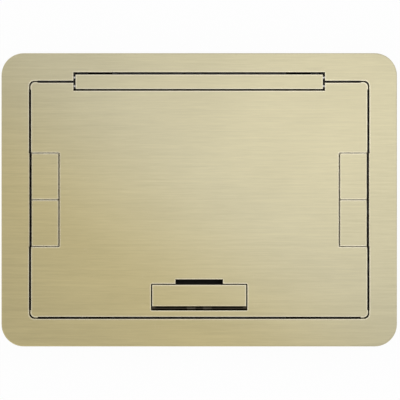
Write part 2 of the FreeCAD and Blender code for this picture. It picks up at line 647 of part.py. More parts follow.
def lift_handle():
    """Flush handle plate with two knuckles in front and the spring's eye beneath."""
    half = HANDLE_LENGTH / 2
    plate = block(-half, half, HANDLE_FRONT, HANDLE_REAR, HANDLE_UNDER, TOP)
    front = [e for e in edges_at(plate, TOP) if e.BoundBox.YMax < HANDLE_FRONT + 1]
    plate = plate.makeFillet(HANDLE_ROUND, front)
    others = [e for e in edges_at(plate, TOP) if e.BoundBox.YMax > HANDLE_REAR - 1]
    plate = plate.makeChamfer(EDGE_BREAK, others)
    low, high = HANDLE_PIN_Z - HANDLE_KNUCKLE_R, HANDLE_PIN_Z + HANDLE_KNUCKLE_R
    web = [(HANDLE_PIN_Y, low), (HANDLE_FRONT, low), (HANDLE_FRONT + HANDLE_FOOT, HANDLE_UNDER),
           (HANDLE_FRONT + HANDLE_FOOT, HANDLE_UNDER + HANDLE_ROUND), (HANDLE_FRONT, high),
           (HANDLE_PIN_Y, high)]
    pieces = [plate]
    for side in SIDES.values():
        x0 = half - HANDLE_KNUCKLE_LENGTH
        start, end = at(side * x0, HANDLE_PIN_Y, HANDLE_PIN_Z), at(side * half, HANDLE_PIN_Y, HANDLE_PIN_Z)
        pieces.append(on_side(profile_along_x(web, x0, half), side))
        pieces.append(rod(HANDLE_KNUCKLE_R, start, end))
    eye = block(-EYE_WIDTH / 2, EYE_WIDTH / 2, EYE_Y - EYE_LENGTH / 2, EYE_Y + EYE_LENGTH / 2,
                EYE_Z - EYE_LENGTH / 2, HANDLE_UNDER)
    handle = joined(pieces + [eye])
    pin_start, pin_end = at(-half, HANDLE_PIN_Y, HANDLE_PIN_Z), at(half, HANDLE_PIN_Y, HANDLE_PIN_Z)
    handle = drill(handle, HANDLE_PIN / 2 + RUNNING_FIT, pin_start, pin_end)
    eye_r = HANDLE_WIRE / 2 + 2 * RUNNING_FIT
    return drill(handle, eye_r, at(-EYE_WIDTH, EYE_Y, EYE_Z), at(EYE_WIDTH, EYE_Y, EYE_Z))


def handle_pin():
    end = WINDOW_HALF + HANDLE_PIN_IN_LID - PIN_END_CLEAR
    return pin(HANDLE_PIN, at(-end, HANDLE_PIN_Y, HANDLE_PIN_Z), at(end, HANDLE_PIN_Y, HANDLE_PIN_Z))


def handle_spring():
    """Double torsion spring as two sleeves on the pin, with a middle loop and two legs."""
    wire_r = HANDLE_WIRE / 2
    x0 = HANDLE_COIL_SPLIT / 2
    x1 = x0 + HANDLE_COIL_LENGTH
    pieces = []
    for side in SIDES.values():
        start, end = at(side * x0, HANDLE_PIN_Y, HANDLE_PIN_Z), at(side * x1, HANDLE_PIN_Y, HANDLE_PIN_Z)
        outer_r, inner_r = HANDLE_COIL_R + wire_r * COIL_FILL, HANDLE_COIL_R - wire_r * COIL_FILL
        pieces.append(rod(outer_r, start, end).cut(rod(inner_r, start, end)))
        loop_x = side * (x0 + HANDLE_WIRE)
        exit_point = at(loop_x, HANDLE_PIN_Y + SPRING_EXIT_Y, HANDLE_PIN_Z + SPRING_EXIT_Z)
        pieces.append(rod(wire_r, exit_point, at(loop_x, EYE_Y, EYE_Z)))
        leg = at(side * (x1 - HANDLE_WIRE), HANDLE_PIN_Y + SPRING_EXIT_Y, HANDLE_PIN_Z + SPRING_EXIT_Z)
        pieces.append(rod(wire_r, leg, leg - at(0, 0, SPRING_LEG_DROP)))
    bar_end = x0 + 2 * HANDLE_WIRE
    pieces.append(rod(wire_r, at(-bar_end, EYE_Y, EYE_Z), at(bar_end, EYE_Y, EYE_Z)))
    return joined(pieces)


def pin_post():
    """Post on the pocket's rim that holds the handle pin up in the lid's groove."""
    half = HANDLE_PIN / 2
    x1 = WINDOW_HALF + HANDLE_PIN_IN_LID - PIN_END_CLEAR
    low, high = UNDER - POCKET_WALL, HANDLE_PIN_Z - half
    return block(CUP_HALF, x1, HANDLE_PIN_Y - half, HANDLE_PIN_Y + half, low, high)


def spring_peg():
    """Peg on the pocket's floor that a leg of the handle spring bears against."""
    x = HANDLE_COIL_SPLIT / 2 + HANDLE_COIL_LENGTH - HANDLE_WIRE
    y = HANDLE_PIN_Y + SPRING_EXIT_Y + HANDLE_WIRE / 2 + SPRING_REST
    return block(x - PEG_WIDTH / 2, x + PEG_WIDTH / 2, y, y + PEG_LENGTH, CUP_FLOOR, CUP_FLOOR + PEG_HEIGHT)


def handle_pocket():
    """Black cup under the handle, with a rim for its screws, posts below the pin and spring pegs."""
    outer_half = CUP_HALF + POCKET_WALL
    floor_under = CUP_FLOOR - POCKET_WALL
    cup = rounded_block(-outer_half, outer_half, CUP_FRONT - POCKET_WALL, CUP_REAR + POCKET_WALL,
                        floor_under, UNDER, POCKET_CORNER)
    cup = cup.makeFillet(POCKET_WALL, edges_at(cup, floor_under))
    rim = rounded_block(-RIM_HALF, RIM_HALF, RIM_FRONT, RIM_REAR, UNDER - POCKET_WALL, UNDER, POCKET_CORNER)
    inner_corner = POCKET_CORNER - POCKET_WALL
    hollow = rounded_block(-CUP_HALF, CUP_HALF, CUP_FRONT, CUP_REAR, CUP_FLOOR, UNDER, inner_corner)
    pocket = joined([cup, rim]).cut(hollow)
    for side in SIDES.values():
        pocket = joined([pocket, on_side(pin_post(), side), on_side(spring_peg(), side)])
    for x, y in pocket_screw_places():
        pocket = drill(pocket, M3 / 2 + SCREW_CLEAR, at(x, y, UNDER - POCKET_WALL), at(x, y, UNDER))
    return pocket


def screws(places, diameter, head, head_height):
    return group([screw_up(x, y, SHEET_UNDER, diameter, head, head_height) for x, y in places])


def frame_pieces():
    pieces = {
        "flange_frame": flange_frame(),
        "collar": collar(),
        "floor_gasket": floor_gasket(),
        "collar_screws": screws(collar_screw_places(), M4, M4_HEAD, M4_HEAD_HEIGHT),
        "hinge_bar": hinge_bar(),
    }
    for name, side in SIDES.items():
        pieces["corner_seat_" + name] = corner_seat(side)
        pieces["lid_pad_" + name] = lid_pad(side)
        pieces["frame_pin_" + name] = hinge_pin(side, FRAME_PIN_Y)
        pieces["lid_pin_" + name] = hinge_pin(side, LID_PIN_Y)
    return pieces


def lid_pieces():
    pieces = {
        "lid_plate": lid_plate(),
        "stiffener_tray": stiffener_tray(),
        "tray_screws": screws(tray_screw_places(), M4, M4_HEAD, M4_HEAD_HEIGHT),
        "lift_handle": lift_handle(),
        "handle_pin": handle_pin(),
        "handle_spring": handle_spring(),
        "handle_pocket": handle_pocket(),
        "pocket_screws": screws(pocket_screw_places(), M3, M3_HEAD, M3_HEAD_HEIGHT),
    }
    return pieces


def flap_pieces():
    pieces = {}
    bracket_screws = screws(bracket_screw_places(), M3, M3_HEAD, M3_HEAD_HEIGHT)
    per_side = {"flap_bracket": flap_bracket(), "flap_pin": flap_pin(), "bracket_screws": bracket_screws}
    per_flap = {"cable_flap": cable_flap(), "flap_leaf": flap_leaf(), "flap_rivets": flap_rivets(),
                "flap_spring": flap_spring()}
    for side_name, side in SIDES.items():
        for name, shape in per_side.items():
            pieces[name + "_" + side_name] = on_side(shape, side)
        for end_name, end in ENDS.items():
            for name, shape in per_flap.items():
                pieces["_".join([name, side_name, end_name])] = at_end(on_side(shape, side), end)
    return pieces


os.makedirs("parts", exist_ok=True)
for node, shape in {**frame_pieces(), **lid_pieces(), **flap_pieces()}.items():
    shape.exportStep(os.path.join("parts", node + ".step"))
    print(node, len(shape.Solids), "solid(s)", round(shape.Volume / 1000, 2), "cm3", shape.isValid())
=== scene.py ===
import math

import bmesh
import bpy
from bpy.props import FloatProperty, FloatVectorProperty, IntProperty, PointerProperty
from mathutils import Matrix, Vector


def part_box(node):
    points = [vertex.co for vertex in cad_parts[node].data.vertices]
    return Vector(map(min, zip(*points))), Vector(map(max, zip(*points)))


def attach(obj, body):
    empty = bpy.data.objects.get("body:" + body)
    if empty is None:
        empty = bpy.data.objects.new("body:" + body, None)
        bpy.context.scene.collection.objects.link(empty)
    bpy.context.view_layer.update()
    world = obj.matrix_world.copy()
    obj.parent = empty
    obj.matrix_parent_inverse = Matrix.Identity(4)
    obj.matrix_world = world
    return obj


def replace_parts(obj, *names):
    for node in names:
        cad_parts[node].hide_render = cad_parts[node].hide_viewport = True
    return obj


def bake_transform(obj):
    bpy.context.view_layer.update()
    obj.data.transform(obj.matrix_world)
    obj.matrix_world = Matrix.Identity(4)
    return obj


bl_info = {
    "name": "Floor Box Cover",
    "version": (1, 0, 0),
    "blender": (4, 5, 0),
    "location": "3D View > Sidebar > Cover",
    "description": "Brushed plates, springs, screws, rivets and studio of a hinged floor box cover",
    "category": "Object",
}

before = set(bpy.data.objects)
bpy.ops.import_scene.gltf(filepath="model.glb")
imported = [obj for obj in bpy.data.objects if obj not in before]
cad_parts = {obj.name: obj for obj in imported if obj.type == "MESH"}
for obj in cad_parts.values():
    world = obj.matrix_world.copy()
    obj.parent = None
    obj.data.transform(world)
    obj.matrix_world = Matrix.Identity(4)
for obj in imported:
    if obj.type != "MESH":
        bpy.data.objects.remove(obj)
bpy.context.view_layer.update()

SIDES = ("left", "right")
CORNERS = ("left_front", "left_rear", "right_front", "right_rear")
X_AXIS, Y_AXIS, Z_AXIS = Vector((1, 0, 0)), Vector((0, 1, 0)), Vector((0, 0, 1))


class CoverFinish(bpy.types.PropertyGroup):
    """Colours and finishes of the cover's materials."""

    # Painted light: the two tones below are painted shade at the plate's front left and painted light at
    # its rear right. The plate's colour runs from one to the other.
    plate_painted_shade_tone: FloatVectorProperty(
        name="Plate, deep tone", description="Brushed plate where its tone is deepest",
        subtype="COLOR", size=3, min=0, max=1, default=(0.555, 0.478, 0.258))
    plate_painted_light_tone: FloatVectorProperty(
        name="Plate, pale tone", description="Brushed plate where its tone is palest",
        subtype="COLOR", size=3, min=0, max=1, default=(0.575, 0.527, 0.355))
    # Painted highlight: the next colour is a pale line painted along the plates' edges at the gaps.
    plate_painted_highlight: FloatVectorProperty(
        name="Plate rim", description="Pale line where the brushed face comes to a gap",
        subtype="COLOR", size=3, min=0, max=1, default=(0.96, 0.90, 0.72))
    # Painted shade: the next colour darkens the plates' cut walls by the gaps as the gaps' shade.
    plate_wall_shade: FloatVectorProperty(
        name="Plate wall", description="Dull cut walls of the plates",
        subtype="COLOR", size=3, min=0, max=1, default=(0.20, 0.165, 0.085))
    # Painted shade: the next colour darkens the plates' broken edges along the gaps and the flaps' seams
    # as shade.
    plate_edge_shade: FloatVectorProperty(
        name="Plate edge", description="Dark broken edges of the plates along the gaps",
        subtype="COLOR", size=3, min=0, max=1, default=(0.048, 0.033, 0.009))
    plate_roughness: FloatProperty(
        name="Plate roughness", description="Roughness of the brushed face",
        subtype="FACTOR", min=0, max=1, default=0.46)
    # Painted highlight: the next two settings give the painted highlight's width along the gaps and how
    # far its colour goes towards the highlight colour. The first also sets the Bevel radius for the
    # painted shade at the flaps' seams.
    rim_reach: FloatProperty(
        name="Rim reach", description="Width of the pale line along the gaps",
        unit="LENGTH", default=0.0024, precision=5)
    highlight_share: FloatProperty(
        name="Rim share", description="How far the line's tone goes towards the rim's colour",
        subtype="FACTOR", min=0, max=1, default=0.8)
    # Painted shade: this close to the lid's corners, the broken edges get no painted shade.
    corner_reach: FloatProperty(
        name="Corner reach", description="How far from the lid's corners the broken edges stay bright",
        unit="LENGTH", default=0.0065, precision=5)
    # The painted highlight and painted shade of the gaps reach this far past the lid and the bar.
    rim_margin: FloatProperty(
        name="Rim margin", description="How far past the lid and the bar the gaps' finish reaches",
        unit="LENGTH", default=0.004)
    streak_contrast: FloatProperty(
        name="Streak contrast", description="How much the brush marks darken and lighten the plate",
        subtype="FACTOR", min=0, max=1, default=0.20)
    coat: FloatVectorProperty(
        name="Powder coat", description="Black coat of the sheet-steel pieces",
        subtype="COLOR", size=3, min=0, max=1, default=(0.015, 0.013, 0.010))
    rubber: FloatVectorProperty(
        name="Rubber", description="Gasket and pads",
        subtype="COLOR", size=3, min=0, max=1, default=(0.016, 0.016, 0.016))
    plastic: FloatVectorProperty(
        name="Plastic", description="Moulded handle pocket",
        subtype="COLOR", size=3, min=0, max=1, default=(0.016, 0.014, 0.010))
    zinc: FloatVectorProperty(
        name="Zinc", description="Plated screws and rivets",
        subtype="COLOR", size=3, min=0, max=1, default=(0.62, 0.62, 0.60))
    pin_steel: FloatVectorProperty(
        name="Pin steel", description="Ground hinge pins",
        subtype="COLOR", size=3, min=0, max=1, default=(0.72, 0.70, 0.66))
    # Painted shade: the next colour is also painted on the handle's knuckles as the gap's shade.
    dark_steel: FloatVectorProperty(
        name="Dark steel", description="Blackened handle pin",
        subtype="COLOR", size=3, min=0, max=1, default=(0.062, 0.052, 0.036))
    spring_steel: FloatVectorProperty(
        name="Spring steel", description="Drawn spring wire",
        subtype="COLOR", size=3, min=0, max=1, default=(0.15, 0.13, 0.095))


class CoverFittings(bpy.types.PropertyGroup):
    """Sizes of the small parts that are made here."""

    flap_wire: FloatProperty(
        name="Flap spring wire", description="Wire diameter of a cable flap's spring",
        unit="LENGTH", default=0.00055, precision=5)
    flap_turns: IntProperty(
        name="Flap spring turns", description="Whole turns between the spring's two legs",
        default=6, min=2)
    leaf_leg_rise: FloatProperty(
        name="Leaf leg rise", description="Height of the leg under the leaf above the pin's axis",
        unit="LENGTH", default=0.001075, precision=5)
    base_leg_rise: FloatProperty(
        name="Base leg rise", description="Height of the leg under the bracket above the pin's axis",
        unit="LENGTH", default=0.000775, precision=5)
    handle_wire: FloatProperty(
        name="Handle spring wire", description="Wire diameter of the handle's spring",
        unit="LENGTH", default=0.00045, precision=5)
    handle_turns: IntProperty(
        name="Handle spring turns", description="Whole turns in each of its two coils",
        default=16, min=2)
    handle_loop_reach: FloatProperty(
        name="Loop reach", description="From the handle pin's axis to the spring's cross bar",
        unit="LENGTH", default=0.011, precision=5)
    handle_loop_drop: FloatProperty(
        name="Loop drop", description="Depth of the cross bar below the handle pin's axis",
        unit="LENGTH", default=0.0025, precision=5)
    handle_leg_reach: FloatProperty(
        name="Leg reach", description="From the handle pin's axis to the spring's legs",
        unit="LENGTH", default=0.000974, precision=6)
    coil_clear: FloatProperty(
        name="Coil clearance", description="Radial gap between a coil and its pin",
        unit="LENGTH", default=0.0002, precision=5)
    wire_bend: FloatProperty(
        name="Wire bend", description="Bend radius where a leg leaves its coil",
        unit="LENGTH", default=0.0008, precision=5)
    knuckle_reach: FloatProperty(
        name="Knuckle reach", description="From the handle pin's axis to the handle's front edge",
        unit="LENGTH", default=0.00165, precision=5)
    head_share: FloatProperty(
        name="Screw head share", description="Height of a screw head as a share of its diameter",
        subtype="FACTOR", default=0.32, min=0.1, max=1)
    socket_share: FloatProperty(
        name="Socket share", description="Size of the hexagon socket as a share of the head",
        subtype="FACTOR", default=0.45, min=0.1, max=0.8)


class CoverStudio(bpy.types.PropertyGroup):
    """Camera, lamps and floor."""

    camera_height: FloatProperty(
        name="Camera height", description="Camera above the floor",
        unit="LENGTH", default=3.0)
    view_centre: FloatVectorProperty(
        name="View centre", description="Where the camera stands over the cover",
        subtype="TRANSLATION", size=2, default=(0.00072, -0.00018), precision=5)
    view_width: FloatProperty(
        name="View width", description="Width that the picture shows at the lid's height",
        unit="LENGTH", default=0.36)
    key_place: FloatVectorProperty(
        name="Key lamp", description="Place of the main soft lamp",
        subtype="TRANSLATION", size=3, default=(0.9, 0.6, 1.5))
    key_size: FloatProperty(
        name="Key size", description="Side of the square main lamp",
        unit="LENGTH", default=1.2)
    key_power: FloatProperty(
        name="Key power", description="Power of the main lamp",
        unit="POWER", default=3.3)
    right_place: FloatVectorProperty(
        name="Right lamp", description="Place of the weak lamp over the lid's right half",
        subtype="TRANSLATION", size=3, default=(0.16, 0.07, 0.62))
    right_size: FloatProperty(
        name="Right size", description="Side of the square lamp over the lid's right half",
        unit="LENGTH", default=0.3)
    right_power: FloatProperty(
        name="Right power", description="Power of the lamp over the lid's right half",
        unit="POWER", default=0.365)
    left_place: FloatVectorProperty(
        name="Left lamp", description="Place of the weak lamp over the lid's left half",
        subtype="TRANSLATION", size=3, default=(-0.06, 0.06, 0.55))
    left_size: FloatProperty(
        name="Left size", description="Side of the square lamp over the lid's left half",
        unit="LENGTH", default=0.2)
    left_power: FloatProperty(
        name="Left power", description="Power of the lamp over the lid's left half",
        unit="POWER", default=0.078)
    fill_place: FloatVectorProperty(
        name="Fill lamp", description="Place of the second soft lamp",
        subtype="TRANSLATION", size=3, default=(-0.9, -0.9, 1.2))
    fill_size: FloatProperty(
        name="Fill size", description="Side of the square second lamp",
        unit="LENGTH", default=1.4)
    fill_power: FloatProperty(
        name="Fill power", description="Power of the second lamp",
        unit="POWER", default=2.0)
    room_level: FloatProperty(
        name="Room light", description="Strength of the room's light on matt surfaces",
        default=0.55, min=0)
    zenith_level: FloatProperty(
        name="Ceiling level", description="How bright the ceiling is in reflections, where 1 is white",
        default=0.54, min=0, max=1)
    floor_side: FloatProperty(
        name="Floor side", description="Side of the square floor",
        unit="LENGTH", default=16.0)
    floor_white: FloatProperty(
        name="Floor white", description="Share of the floor that shows as plain white",
        subtype="FACTOR", default=0.97, min=0, max=1)


# Materials

WALL_LEVEL, BREAK_LEVEL = 0.2, 0.75
# Painted highlight: between these levels of the Bevel-rounded normal, the pale highlight is painted in.
HIGHLIGHT_TURN = (0.93, 0.99)
# Painted shade: between these levels of the Bevel-rounded normal, the flaps' seams are painted dark.
SEAM_TURN = (0.80, 0.86)
FINE_MARKS, LONG_MARKS, CLOUDS = (55, 1100, 1100), (9, 480, 480), (14, 20, 20)
# Painted light: the direction, and the span along it, over which the plate goes from its painted-shade
# tone to its painted-light tone.
PAINTED_LIGHT_RUN, PAINTED_LIGHT_START, PAINTED_LIGHT_END = (0.6, 0.8, 0), -0.11, 0.03
WALL_GLOSS, ROUGHNESS_SPREAD = 0.25, 0.05
BRUSH_DEPTH = 0.00002


def node_in(tree, kind, **settings):
    """A new node with its settings, and with input sockets named by their titles."""
    node = tree.nodes.new("ShaderNode" + kind)
    for name, value in settings.items():
        if name in node.inputs:
            node.inputs[name].default_value = value
        else:
            setattr(node, name, value)
    return node


def material_named(name, colour, roughness, metallic):
    """A new material and its shader node, or the finished one and nothing."""
    if name in bpy.data.materials:
        return bpy.data.materials[name], None
    material = bpy.data.materials.new(name)
    material.use_nodes = True
    shader = material.node_tree.nodes["Principled BSDF"]
    shader.inputs["Base Color"].default_value = (*colour, 1)
    shader.inputs["Roughness"].default_value = roughness
    shader.inputs["Metallic"].default_value = metallic
    return material, shader


def grain(tree, stretch, detail=2.0, offset=(0, 0, 0)):
    """Noise on the piece's own coordinates, in marks per metre along each axis."""
    place = node_in(tree, "TexCoord")
    mapping = node_in(tree, "Mapping", Scale=stretch, Location=offset)
    noise = node_in(tree, "TexNoise", Scale=1.0, Detail=detail, Roughness=0.55)
    tree.links.new(place.outputs["Object"], mapping.inputs["Vector"])
    tree.links.new(mapping.outputs["Vector"], noise.inputs["Vector"])
    return noise.outputs["Fac"]


def scaled(tree, value, low, high, start=0.0, end=1.0):
    """A value brought from one range into another."""
    to_range = node_in(tree, "MapRange")
    to_range.inputs["From Min"].default_value = start
    to_range.inputs["From Max"].default_value = end
    to_range.inputs["To Min"].default_value = low
    to_range.inputs["To Max"].default_value = high
    tree.links.new(value, to_range.inputs["Value"])
    return to_range.outputs["Result"]


def worked(tree, operation, first, second):
    """Two values put through one operation; the second may be a number."""
    node = node_in(tree, "Math", operation=operation)
    tree.links.new(first, node.inputs[0])
    if isinstance(second, (int, float)):
        node.inputs[1].default_value = second
    else:
        tree.links.new(second, node.inputs[1])
    return node.outputs["Value"]


def toned(tree, colour, amount):
    """A colour made darker or lighter by a value."""
    shade = node_in(tree, "VectorMath", operation="SCALE")
    if isinstance(colour, (tuple, list)):
        shade.inputs["Vector"].default_value = colour[:3]
    else:
        tree.links.new(colour, shade.inputs["Vector"])
    tree.links.new(amount, shade.inputs["Scale"])
    return shade.outputs["Vector"]


def mixed(tree, factor, first, second):
    """Two colours mixed by a value."""
    node = node_in(tree, "Mix", data_type="RGBA")
    tree.links.new(factor, node.inputs["Factor"])
    for socket, colour in ((node.inputs[6], first), (node.inputs[7], second)):
        if isinstance(colour, tuple):
            socket.default_value = (*colour[:3], 1)
        else:
            tree.links.new(colour, socket)
    return node.outputs[2]


def bumped(tree, shader, height, depth):
    """A relief of that depth in metres on a shader."""
    bump = node_in(tree, "Bump", Strength=1.0, Distance=depth)
    tree.links.new(height, bump.inputs["Height"])
    tree.links.new(bump.outputs["Normal"], shader.inputs["Normal"])


def split_up(tree, output):
    """The X, Y and Z of one of the piece's own coordinates."""
    place = node_in(tree, "TexCoord")
    split = node_in(tree, "SeparateXYZ")
    tree.links.new(place.outputs[output], split.inputs["Vector"])
    return [split.outputs[axis] for axis in "XYZ"]


def from_middle(tree, axis, comparison, distance):
    """1 where the distance from the cover's middle along X or Y is below or above the one given."""
    value = split_up(tree, "Object")["XYZ".index(axis)]
    return worked(tree, comparison, worked(tree, "ABSOLUTE", value, 0.0), distance)


def within_rim(tree):
    """1 inside the flange's band and 0 towards its outer rim."""
    margin = bpy.context.scene.cover_finish.rim_margin
    in_x = from_middle(tree, "X", "LESS_THAN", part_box("lid_plate")[1].x + margin)
    in_y = from_middle(tree, "Y", "LESS_THAN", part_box("hinge_bar")[1].y + margin)
    return worked(tree, "MULTIPLY", in_x, in_y)


def round_flaps(tree):
    """1 on the cable flaps and their notches, where the edges aren't broken."""
    low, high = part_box("cable_flap_right_rear")
    reach = bpy.context.scene.cover_finish.rim_reach
    in_x = from_middle(tree, "X", "GREATER_THAN", low.x - reach)
    in_y = from_middle(tree, "Y", "LESS_THAN", high.y + reach)
    return worked(tree, "MULTIPLY", in_x, in_y)


def round_corners(tree):
    """1 at the lid's four corners, whose lands come closer to the flange."""
    low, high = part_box("lid_plate")
    reach = bpy.context.scene.cover_finish.corner_reach
    y = split_up(tree, "Object")[1]
    at_end = worked(tree, "MAXIMUM", worked(tree, "LESS_THAN", y, low.y + reach),
                    worked(tree, "GREATER_THAN", y, high.y - reach))
    return worked(tree, "MULTIPLY", from_middle(tree, "X", "GREATER_THAN", high.x - reach), at_end)


def steep(tree, level):
    """1 on faces that are steeper than a level, from 0 for a wall to 1 for a flat face."""
    slope = worked(tree, "ABSOLUTE", split_up(tree, "Normal")[2], 0.0)
    return worked(tree, "LESS_THAN", slope, level)


def edge_turn(tree, reach):
    """1 on a level face, falling towards 0.7 at the piece's own edges from that distance on."""
    rounded = node_in(tree, "Bevel", samples=8, Radius=reach)
    surface = node_in(tree, "NewGeometry")
    along = node_in(tree, "VectorMath", operation="DOT_PRODUCT")
    tree.links.new(rounded.outputs["Normal"], along.inputs[0])
    tree.links.new(surface.outputs["True Normal"], along.inputs[1])
    return along.outputs["Value"]


def brushed_plate(gap_shade_before=None):
    """Pale brass-tone plate brushed along X, its tone deepened by painted shade at its front left and
    paled by painted light at its rear right.

    On the handle, the knuckles in front of a place along Y take the dark steel colour as painted shade
    of the gap they sit in.
    """
    finish = bpy.context.scene.cover_finish
    name = "brushed_plate" if gap_shade_before is None else "brushed_handle"
    material, shader = material_named(name, finish.plate_painted_light_tone, finish.plate_roughness, 1.0)
    if shader is None:
        return material
    tree = material.node_tree
    place = node_in(tree, "TexCoord")
    # Painted light: the colour runs from painted shade at the front left to painted light at the rear
    # right.
    across = node_in(tree, "VectorMath", operation="DOT_PRODUCT")
    across.inputs[1].default_value = PAINTED_LIGHT_RUN
    tree.links.new(place.outputs["Object"], across.inputs[0])
    painted_light_drift = scaled(tree, across.outputs["Value"], 0.0, 1.0, PAINTED_LIGHT_START, PAINTED_LIGHT_END)
    painted_light_drift.node.interpolation_type = "SMOOTHSTEP"
    tone = mixed(tree, painted_light_drift, tuple(finish.plate_painted_shade_tone), tuple(finish.plate_painted_light_tone))
    fine = grain(tree, FINE_MARKS, 3.0)
    long = grain(tree, LONG_MARKS, 3.0, (3.1, 0.7, 0.2))
    cloud = grain(tree, CLOUDS, 2.0, (0.4, 5.2, 1.0))
    half = finish.streak_contrast / 2
    streaks = worked(tree, "ADD", scaled(tree, fine, -half, half), scaled(tree, long, -half, half))
    shade = worked(tree, "ADD", streaks, scaled(tree, cloud, 1 - half / 2, 1 + half / 2))
    inside = within_rim(tree)
    # Painted shade: broken edges by the gaps are painted dark.
    edge_shade = worked(tree, "MULTIPLY", steep(tree, BREAK_LEVEL), inside)
    walls = worked(tree, "MULTIPLY", steep(tree, WALL_LEVEL), inside)
    # Painted highlight: a pale line along the plates' edges by the gaps, found with the Bevel node.
    turn = edge_turn(tree, finish.rim_reach)
    painted_highlights = worked(tree, "MULTIPLY", scaled(tree, turn, finish.highlight_share, 0.0, *HIGHLIGHT_TURN), inside)
    # Painted shade: the flaps' seams are painted dark.
    seam_shade = worked(tree, "MULTIPLY", scaled(tree, turn, 1.0, 0.0, *SEAM_TURN), round_flaps(tree))
    seam_shade = worked(tree, "MULTIPLY", seam_shade, inside)
    colour = mixed(tree, painted_highlights, toned(tree, tone, shade), tuple(finish.plate_painted_highlight))
    # Painted shade: none on the broken edges at the lid's corners.
    edge_shade = worked(tree, "MULTIPLY", edge_shade, scaled(tree, round_corners(tree), 1.0, 0.0))
    colour = mixed(tree, worked(tree, "MAXIMUM", edge_shade, seam_shade), colour, tuple(finish.plate_edge_shade))
    # Painted shade: walls inside the rim take the dark wall colour as the gaps' shade.
    colour = mixed(tree, walls, colour, tuple(finish.plate_wall_shade))
    if gap_shade_before is not None:
        # Painted shade: the knuckles in the gap, in front of the handle's front edge, are painted dark
        # as the gap's shade.
        ahead = worked(tree, "LESS_THAN", split_up(tree, "Object")[1], gap_shade_before)
        colour = mixed(tree, ahead, colour, tuple(finish.dark_steel))
    tree.links.new(colour, shader.inputs["Base Color"])
    middle = finish.plate_roughness
    rough = scaled(tree, long, middle - ROUGHNESS_SPREAD, middle + ROUGHNESS_SPREAD)
    rough = worked(tree, "SUBTRACT", rough, worked(tree, "MULTIPLY", walls, WALL_GLOSS))
    tree.links.new(rough, shader.inputs["Roughness"])
    bumped(tree, shader, fine, BRUSH_DEPTH)
    return material


def powder_coat():
    """Black coat with a fine orange peel."""
    finish = bpy.context.scene.cover_finish
    material, shader = material_named("powder_coat", finish.coat, 0.5, 0.0)
    if shader is None:
        return material
    shader.inputs["Specular IOR Level"].default_value = 0.32
    tree = material.node_tree
    peel = grain(tree, (1100, 1100, 1100), 2.0)
    haze = grain(tree, (40, 40, 40), 2.0)
    colour = toned(tree, tuple(finish.coat), scaled(tree, haze, 0.8, 1.25))
    tree.links.new(colour, shader.inputs["Base Color"])
    tree.links.new(scaled(tree, haze, 0.42, 0.60), shader.inputs["Roughness"])
    bumped(tree, shader, peel, 0.00006)
    return material


def black_rubber():
    """Matt rubber with a faint bloom."""
    finish = bpy.context.scene.cover_finish
    material, shader = material_named("rubber", finish.rubber, 0.8, 0.0)
    if shader is None:
        return material
    tree = material.node_tree
    bloom = grain(tree, (60, 60, 60), 4.0)
    pores = grain(tree, (1800, 1800, 1800), 1.0)
    colour = toned(tree, tuple(finish.rubber), scaled(tree, bloom, 0.7, 1.5))
    tree.links.new(colour, shader.inputs["Base Color"])
    tree.links.new(scaled(tree, bloom, 0.72, 0.9), shader.inputs["Roughness"])
    bumped(tree, shader, pores, 0.00004)
    return material


def moulded_plastic():
    """Black plastic with the fine spark texture of its mould."""
    finish = bpy.context.scene.cover_finish
    material, shader = material_named("moulded_plastic", finish.plastic, 0.55, 0.0)
    if shader is None:
        return material
    shader.inputs["Specular IOR Level"].default_value = 0.35
    tree = material.node_tree
    spark = grain(tree, (900, 900, 900), 3.0)
    flow = grain(tree, (25, 70, 70), 2.0)
    colour = toned(tree, tuple(finish.plastic), scaled(tree, flow, 0.85, 1.2))
    tree.links.new(colour, shader.inputs["Base Color"])
    tree.links.new(scaled(tree, spark, 0.48, 0.66), shader.inputs["Roughness"])
    bumped(tree, shader, spark, 0.00005)
    return material


def plated_metal(name, colour, stretch, roughness):
    """Bright metal with fine marks that run as the stretch says."""
    material, shader = material_named(name, colour, roughness, 1.0)
    if shader is None:
        return material
    tree = material.node_tree
    marks = grain(tree, stretch, 2.0)
    patches = grain(tree, (90, 90, 90), 3.0)
    shade = worked(tree, "MULTIPLY", scaled(tree, marks, 0.88, 1.12), scaled(tree, patches, 0.9, 1.1))
    tree.links.new(toned(tree, tuple(colour), shade), shader.inputs["Base Color"])
    tree.links.new(scaled(tree, patches, roughness - 0.08, roughness + 0.10), shader.inputs["Roughness"])
    bumped(tree, shader, marks, 0.000006)
    return material


def zinc_plate():
    """Bright plate of the screws and rivets."""
    finish = bpy.context.scene.cover_finish
    return plated_metal("zinc_plate", finish.zinc, (500, 500, 1500), 0.30)


def ground_along(axis):
    """Ground pin steel, with rings round a pin that lies along X or Y."""
    finish = bpy.context.scene.cover_finish
    rings = (3500, 60, 60) if axis == "x" else (60, 3500, 60)
    return plated_metal("ground_steel_" + axis, finish.pin_steel, rings, 0.28)


def dark_steel():
    """Blackened steel of the handle pin, with rings round it."""
    finish = bpy.context.scene.cover_finish
    return plated_metal("dark_steel", finish.dark_steel, (2500, 80, 80), 0.42)


def spring_wire():
    """Drawn wire of the springs."""
    finish = bpy.context.scene.cover_finish
    return plated_metal("spring_wire", finish.spring_steel, (700, 700, 700), 0.34)


def dress(node, material):
    """A finish on a CAD node that stays as it is."""
    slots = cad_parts[node].data.materials
    slots.clear()
    slots.append(material)


# Shapes

